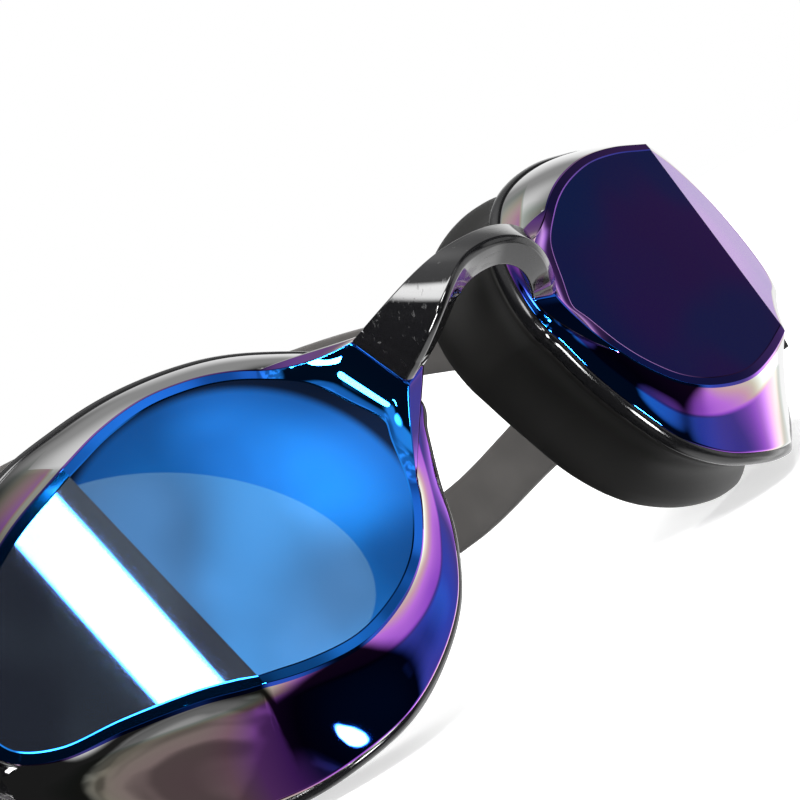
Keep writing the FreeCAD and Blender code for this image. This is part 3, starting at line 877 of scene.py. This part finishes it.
def make_bridge(name, materials):
    """Glossy arch with bevelled edges and a fine parting line near each end."""
    stations = list(BRIDGE_END)
    for k in range(1, BRIDGE_RINGS + 1):
        stations.append((BRIDGE_START + (1.0 - BRIDGE_START) * k / BRIDGE_RINGS, 1.0))
    build = Build()
    rings = [bridge_section(share, shrink, 1) for share, shrink in stations]
    rings += [bridge_section(share, shrink, -1) for share, shrink in stations[-2::-1]]
    made = build.bands(rings, 0)
    build.face(made[0], 0, True)
    build.face(made[-1], 0, True)
    return build.object(name, to_row, materials)


def height_of(rise, y):
    """Height of a band's middle at a distance behind the pivot."""
    curve = open_curve(rise, 12)
    return np.interp(y, curve[:, 0], curve[:, 1])


def make_band(name, plan, rise, materials):
    """One silicone band: tails, turns round the posts and the loop round the head."""
    loop = open_curve(plan + [(-x, y) for x, y in plan[-2::-1]], BAND_STEPS)
    bend = TURN_R + STRAP_THICK / 2
    turn = [(POST_X + bend * math.cos(a), POST_Y - bend * math.sin(a))
            for a in np.linspace(0, math.pi, TURN_RINGS)[1:-1]]
    tail = [(TAIL_X, y) for y in np.linspace(TAIL_END, POST_Y, TAIL_RINGS)]
    start = np.array(tail + turn)
    path = np.vstack([start, loop, (start * [-1, 1])[::-1]])
    along = np.gradient(path, axis=0)
    along /= np.linalg.norm(along, axis=1)[:, None]
    left = np.stack([-along[:, 1], along[:, 0]], -1)
    heights = height_of(rise, path[:, 1])
    t, w = STRAP_THICK / 2, STRAP_WIDTH / 2
    flat, soft = EDGE_FLAT, EDGE_ROUND
    outer = [(t, -w + flat)]
    for middle in (-0.62 * w, 0.0, 0.62 * w):
        outer += [(t, middle - GROOVE), (t - GROOVE_DEPTH, middle - GROOVE / 3),
                  (t - GROOVE_DEPTH, middle + GROOVE / 3), (t, middle + GROOVE)]
    top_edge = [(t, w - flat), (t - soft, w - soft), (t - flat, w),
                (-t + flat, w), (-t + soft, w - soft), (-t, w - flat)]
    inner = [(-t, w / 2), (-t, 0), (-t, -w / 2)]
    low_edge = [(-t, -w + flat), (-t + soft, -w + soft), (-t + flat, -w),
                (t - flat, -w), (t - soft, -w + soft)]
    profile = outer + top_edge + inner + low_edge
    rings = []
    for p, n, h in zip(path, left, heights):
        rings.append([(p[0] - n[0] * a, p[1] - n[1] * a, h + b) for a, b in profile])
    build = Build()
    made = build.bands(rings, 0)
    build.face(made[0], 0)
    build.face(made[-1], 0)
    return build.object(name, pivot_to_row, materials)


# ------------------------------------------------------------------ properties

class GogglesLook(bpy.types.PropertyGroup):
    """Sizes and colours of the goggles."""

    black: FloatVectorProperty(name="Black", description="Colour of the polished black plastic",
                               subtype="COLOR", size=3, default=(0.004, 0.004, 0.0045))
    rubber: FloatVectorProperty(name="Gasket", description="Colour of the gasket silicone",
                                subtype="COLOR", size=3, default=(0.0025, 0.0025, 0.0024))
    strap: FloatVectorProperty(name="Strap", description="Colour of the strap silicone",
                               subtype="COLOR", size=3, default=(0.046, 0.043, 0.041))
    mirror_rough: FloatProperty(name="Mirror roughness", description="Roughness of the mirror coating",
                                subtype="FACTOR", default=0.025, min=0.0, max=0.3)
    wall_bulge: FloatProperty(name="Wall bulge", description="How far the lens wall swells, in mm",
                              default=0.35, min=0.0, max=1.5)
    wall_hollow: FloatProperty(name="Wall hollow", description="How far the lower wall dips, in mm",
                               default=0.3, min=0.0, max=2.0)


# -------------------------------------------------------------------- operators

class GOGGLES_OT_lenses(bpy.types.Operator):
    """Mirror lens cups with their tabs and tongues."""

    bl_idname = "goggles.lenses"
    bl_label = "Lenses"

    def execute(self, context):
        look = context.scene.goggles
        inside = inner_lens(look)
        for word, side in SIDES:
            finishes = [mirror_coat(look, side), facet_coat(look, side), inside]
            piece = make_lens(look, "lens_shell_" + word, side, finishes)
            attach(piece, "frame")
            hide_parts("lens_" + word)
        return {"FINISHED"}


class GOGGLES_OT_seals(bpy.types.Operator):
    """Dark seal frames and soft gaskets."""

    bl_idname = "goggles.seals"
    bl_label = "Seals"

    def execute(self, context):
        look = context.scene.goggles
        gloss, soft = gloss_black(look, "frame_gloss", 0.3, 0.25), soft_rubber(look)
        for word, side in SIDES:
            band = make_seal_frame("seal_band_" + word, side, [gloss])
            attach(band, "frame")
            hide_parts("seal_frame_" + word)
            skirt = make_gasket("gasket_skirt_" + word, side, [soft])
            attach(skirt, "frame")
            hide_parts("gasket_" + word)
        return {"FINISHED"}


class GOGGLES_OT_bridge(bpy.types.Operator):
    """Glossy nose bridge."""

    bl_idname = "goggles.bridge"
    bl_label = "Bridge"

    def execute(self, context):
        look = context.scene.goggles
        piece = make_bridge("nose_arch", [gloss_black(look, "bridge_gloss", 1.0)])
        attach(piece, "frame")
        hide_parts("nose_bridge")
        return {"FINISHED"}


class GOGGLES_OT_strap(bpy.types.Operator):
    """Upper and lower bands of the head strap."""

    bl_idname = "goggles.strap"
    bl_label = "Strap"

    def execute(self, context):
        look = context.scene.goggles
        rubber = strap_rubber(look)
        flat = STRAP_WIDTH / 2 - PIVOT[2]
        lower_rise = LOWER_DIP + [(y, flat) for y in LOWER_FLAT]
        for word, plan, rise in (("upper", UPPER_PLAN, UPPER_RISE), ("lower", LOWER_PLAN, lower_rise)):
            band = make_band("band_" + word, plan, rise, [rubber])
            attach(band, "strap")
            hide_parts("strap_" + word)
        return {"FINISHED"}


class GOGGLES_OT_clips(bpy.types.Operator):
    """Clips, posts, pins, washers, buttons and keepers."""

    bl_idname = "goggles.clips"
    bl_label = "Clips"

    def execute(self, context):
        look = context.scene.goggles
        gloss, steel = gloss_black(look, "clip_gloss", 0.6), satin_steel(look)
        rubber, matt = soft_rubber(look), fine_matt(look)
        finishes = {"strap_clip": (gloss, 0.35), "strap_post": (steel, 0.15),
                    "pivot_pin": (gloss, 0.3), "pin_retainer": (steel, 0.12),
                    "release_button": (matt, 0.3), "strap_keeper": (rubber, 0.3)}
        for start, (finish, radius) in finishes.items():
            for word, _ in SIDES:
                node = frame["nodes"][start + "_" + word]
                node.data.materials.clear()
                node.data.materials.append(finish)
                bevel = node.modifiers.new("edge", "BEVEL")
                bevel.width = radius * MM
                bevel.segments = 3
                bevel.limit_method = "ANGLE"
                bevel.harden_normals = True
        return {"FINISHED"}


class GOGGLES_OT_stage(bpy.types.Operator):
    """Pale floor, soft light and the camera."""

    bl_idname = "goggles.stage"
    bl_label = "Stage"

    def execute(self, context):
        scene = context.scene
        make_world(scene)
        make_floor(scene)
        make_lights(scene)
        make_camera(scene)
        scene.view_settings.view_transform = "Standard"
        return {"FINISHED"}


# Soft patches of light round the goggles: direction, edge and full cosines, strength.
WINDOW = ((0.25, -0.865, 0.43), 0.93, 0.985, 0.98)
BELOW = ((-0.60, -0.19, -0.777), 0.962, 0.988, 0.26)
BACKDROPS = [((0.80, 0.55, -0.30), 0.60, 0.90, 1.0), ((0.50, 0.50, 0.72), 0.85, 0.97, 0.26),
             ((0.0, 0.1, 1.0), 0.70, 0.95, 0.50), ((0.80, -0.30, -0.50), 0.80, 0.90, 1.1),
             ((0.25, 0.10, -0.96), 0.80, 0.95, 1.2)]
BRIDGE_BOX = ((-0.37, -0.46, 0.81), 0.945, 0.985, 11.0)
TAB_BOX = ((-0.41, -0.905, 0.10), 0.988, 0.991, 30.0)
WALL_BOX = ((-0.415, -0.717, -0.56), 0.989, 0.991, 60.0)
FRONT_FILL = [((-0.34, -0.81, 0.48), 0.940, 0.985, 0.80), ((0.45, -0.885, -0.09), 0.968, 0.990, 0.62),
              ((0.874, -0.403, 0.27), 0.90, 0.97, 0.14)]
PATCHES = BACKDROPS + [BRIDGE_BOX, TAB_BOX, WALL_BOX] + FRONT_FILL
STRIP_ACROSS = (0.679, -0.692, 0.245)
STRIP_EDGES = (-0.0315, -0.0295, -0.0045, -0.0022)
STRIP = ((-0.755, -0.61, 0.25), 0.972, 0.980, 65.0)


def make_world(scene):
    """White surroundings as seen, with a darker studio and a few soft boxes in the reflections."""
    world = bpy.data.worlds.new("studio")
    scene.world = world
    s = Shade(world)
    way = s.add("TexCoord", out=0)

    def patch(direction, edge, full, strength):
        """Light round a direction."""
        return s.soft_step(s.dot(way, tuple(Vector(direction).normalized())), edge, full) * strength

    blotch = 0.50 + 0.80 * s.soft_step(s.noise(9.0, 1.0, way), 0.38, 0.62)
    light = 0.012 + patch(*WINDOW) * blotch + patch(*BELOW) * blotch
    for spot in PATCHES:
        light = light + patch(*spot)
    across = s.dot(way, STRIP_ACROSS)
    low, low_full, high_full, high = STRIP_EDGES
    strip = s.soft_step(across, low, low_full) * s.soft_step(across, high, high_full)
    studio = s.add("Background", Color=(1.0, 1.0, 1.0), Strength=light + strip * patch(*STRIP))
    seen = s.add("Background", Color=(1.0, 1.0, 1.0), Strength=1.0)
    both = s.add("MixShader", inputs_in_order=(s.add("LightPath", out=0), studio, seen))
    s.add("OutputWorld", Surface=both)


def make_floor(scene):
    """A large pale disc just under the goggles."""
    turns = np.linspace(0, 2 * math.pi, 97)[:-1]
    edge = [(FLOOR_RADIUS * math.cos(a), FLOOR_RADIUS * math.sin(a), -FLOOR_DROP) for a in turns]
    build = Build()
    build.face(build.ring(edge), 0, True)
    made, s = material("floor_white")
    soft = s.noise(4.0, 2.0)
    colour = s.mix(soft, (0.58, 0.58, 0.58), (0.62, 0.62, 0.62))
    s.surface(Base_Color=colour, Roughness=0.9, Emission_Color=(1.0, 1.0, 1.0), Emission_Strength=0.62)
    floor = build.object("floor", np.asarray, [made])
    floor.visible_glossy = False


def make_lights(scene):
    """Two soft lamps above; the mirror lenses do not show them."""
    for name, place, size, power in (("key", (-0.25, -0.35, 0.75), 0.5, 9.0),
                                     ("fill", (0.6, 0.4, 0.6), 0.6, 7.0)):
        lamp = bpy.data.lights.new(name, "AREA")
        lamp.size = size
        lamp.energy = power
        lamp_object = bpy.data.objects.new(name, lamp)
        lamp_object.location = place
        lamp_object.rotation_euler = (-Vector(place)).to_track_quat("-Z", "Y").to_euler()
        lamp_object.visible_glossy = False
        scene.collection.objects.link(lamp_object)


def make_camera(scene):
    """The camera in front of the goggles, on the wearer's right and below."""
    camera = bpy.data.cameras.new("camera")
    camera.lens = CAMERA_LENS
    camera.sensor_width = 36.0
    camera.clip_start = 0.01
    made = bpy.data.objects.new("camera", camera)
    scene.collection.objects.link(made)
    origin = to_row(np.zeros(3))
    right = Vector(to_row(np.array(CAMERA_RIGHT)) - origin).normalized()
    up = Vector(to_row(np.array(CAMERA_UP)) - origin).normalized()
    back = right.cross(up).normalized()
    up = back.cross(right)
    turn = Matrix((right, up, back)).transposed().to_4x4()
    made.matrix_world = Matrix.Translation(Vector(to_row(np.array(CAMERA_PLACE)))) @ turn
    scene.camera = made


class GOGGLES_PT_panel(bpy.types.Panel):
    """Lists the goggles' settings and the steps that build them."""

    bl_label = "Goggles"
    bl_idname = "GOGGLES_PT_panel"
    bl_space_type = "VIEW_3D"
    bl_region_type = "UI"
    bl_category = "Goggles"

    def draw(self, context):
        for name in GogglesLook.__annotations__:
            self.layout.prop(context.scene.goggles, name)
        for step in STEPS_IN_ORDER:
            self.layout.operator(step.bl_idname)


STEPS_IN_ORDER = (GOGGLES_OT_stage, GOGGLES_OT_lenses, GOGGLES_OT_seals, GOGGLES_OT_bridge,
                  GOGGLES_OT_strap, GOGGLES_OT_clips)
CLASSES = (GogglesLook, *STEPS_IN_ORDER, GOGGLES_PT_panel)


def register():
    for cls in CLASSES:
        bpy.utils.register_class(cls)
    bpy.types.Scene.goggles = PointerProperty(type=GogglesLook)


def unregister():
    del bpy.types.Scene.goggles
    for cls in reversed(CLASSES):
        bpy.utils.unregister_class(cls)


def main():
    register()
    bpy.ops.goggles.stage()
    bpy.ops.goggles.lenses()
    bpy.ops.goggles.seals()
    bpy.ops.goggles.bridge()
    bpy.ops.goggles.strap()
    bpy.ops.goggles.clips()


if __name__ == "__main__":
    main()
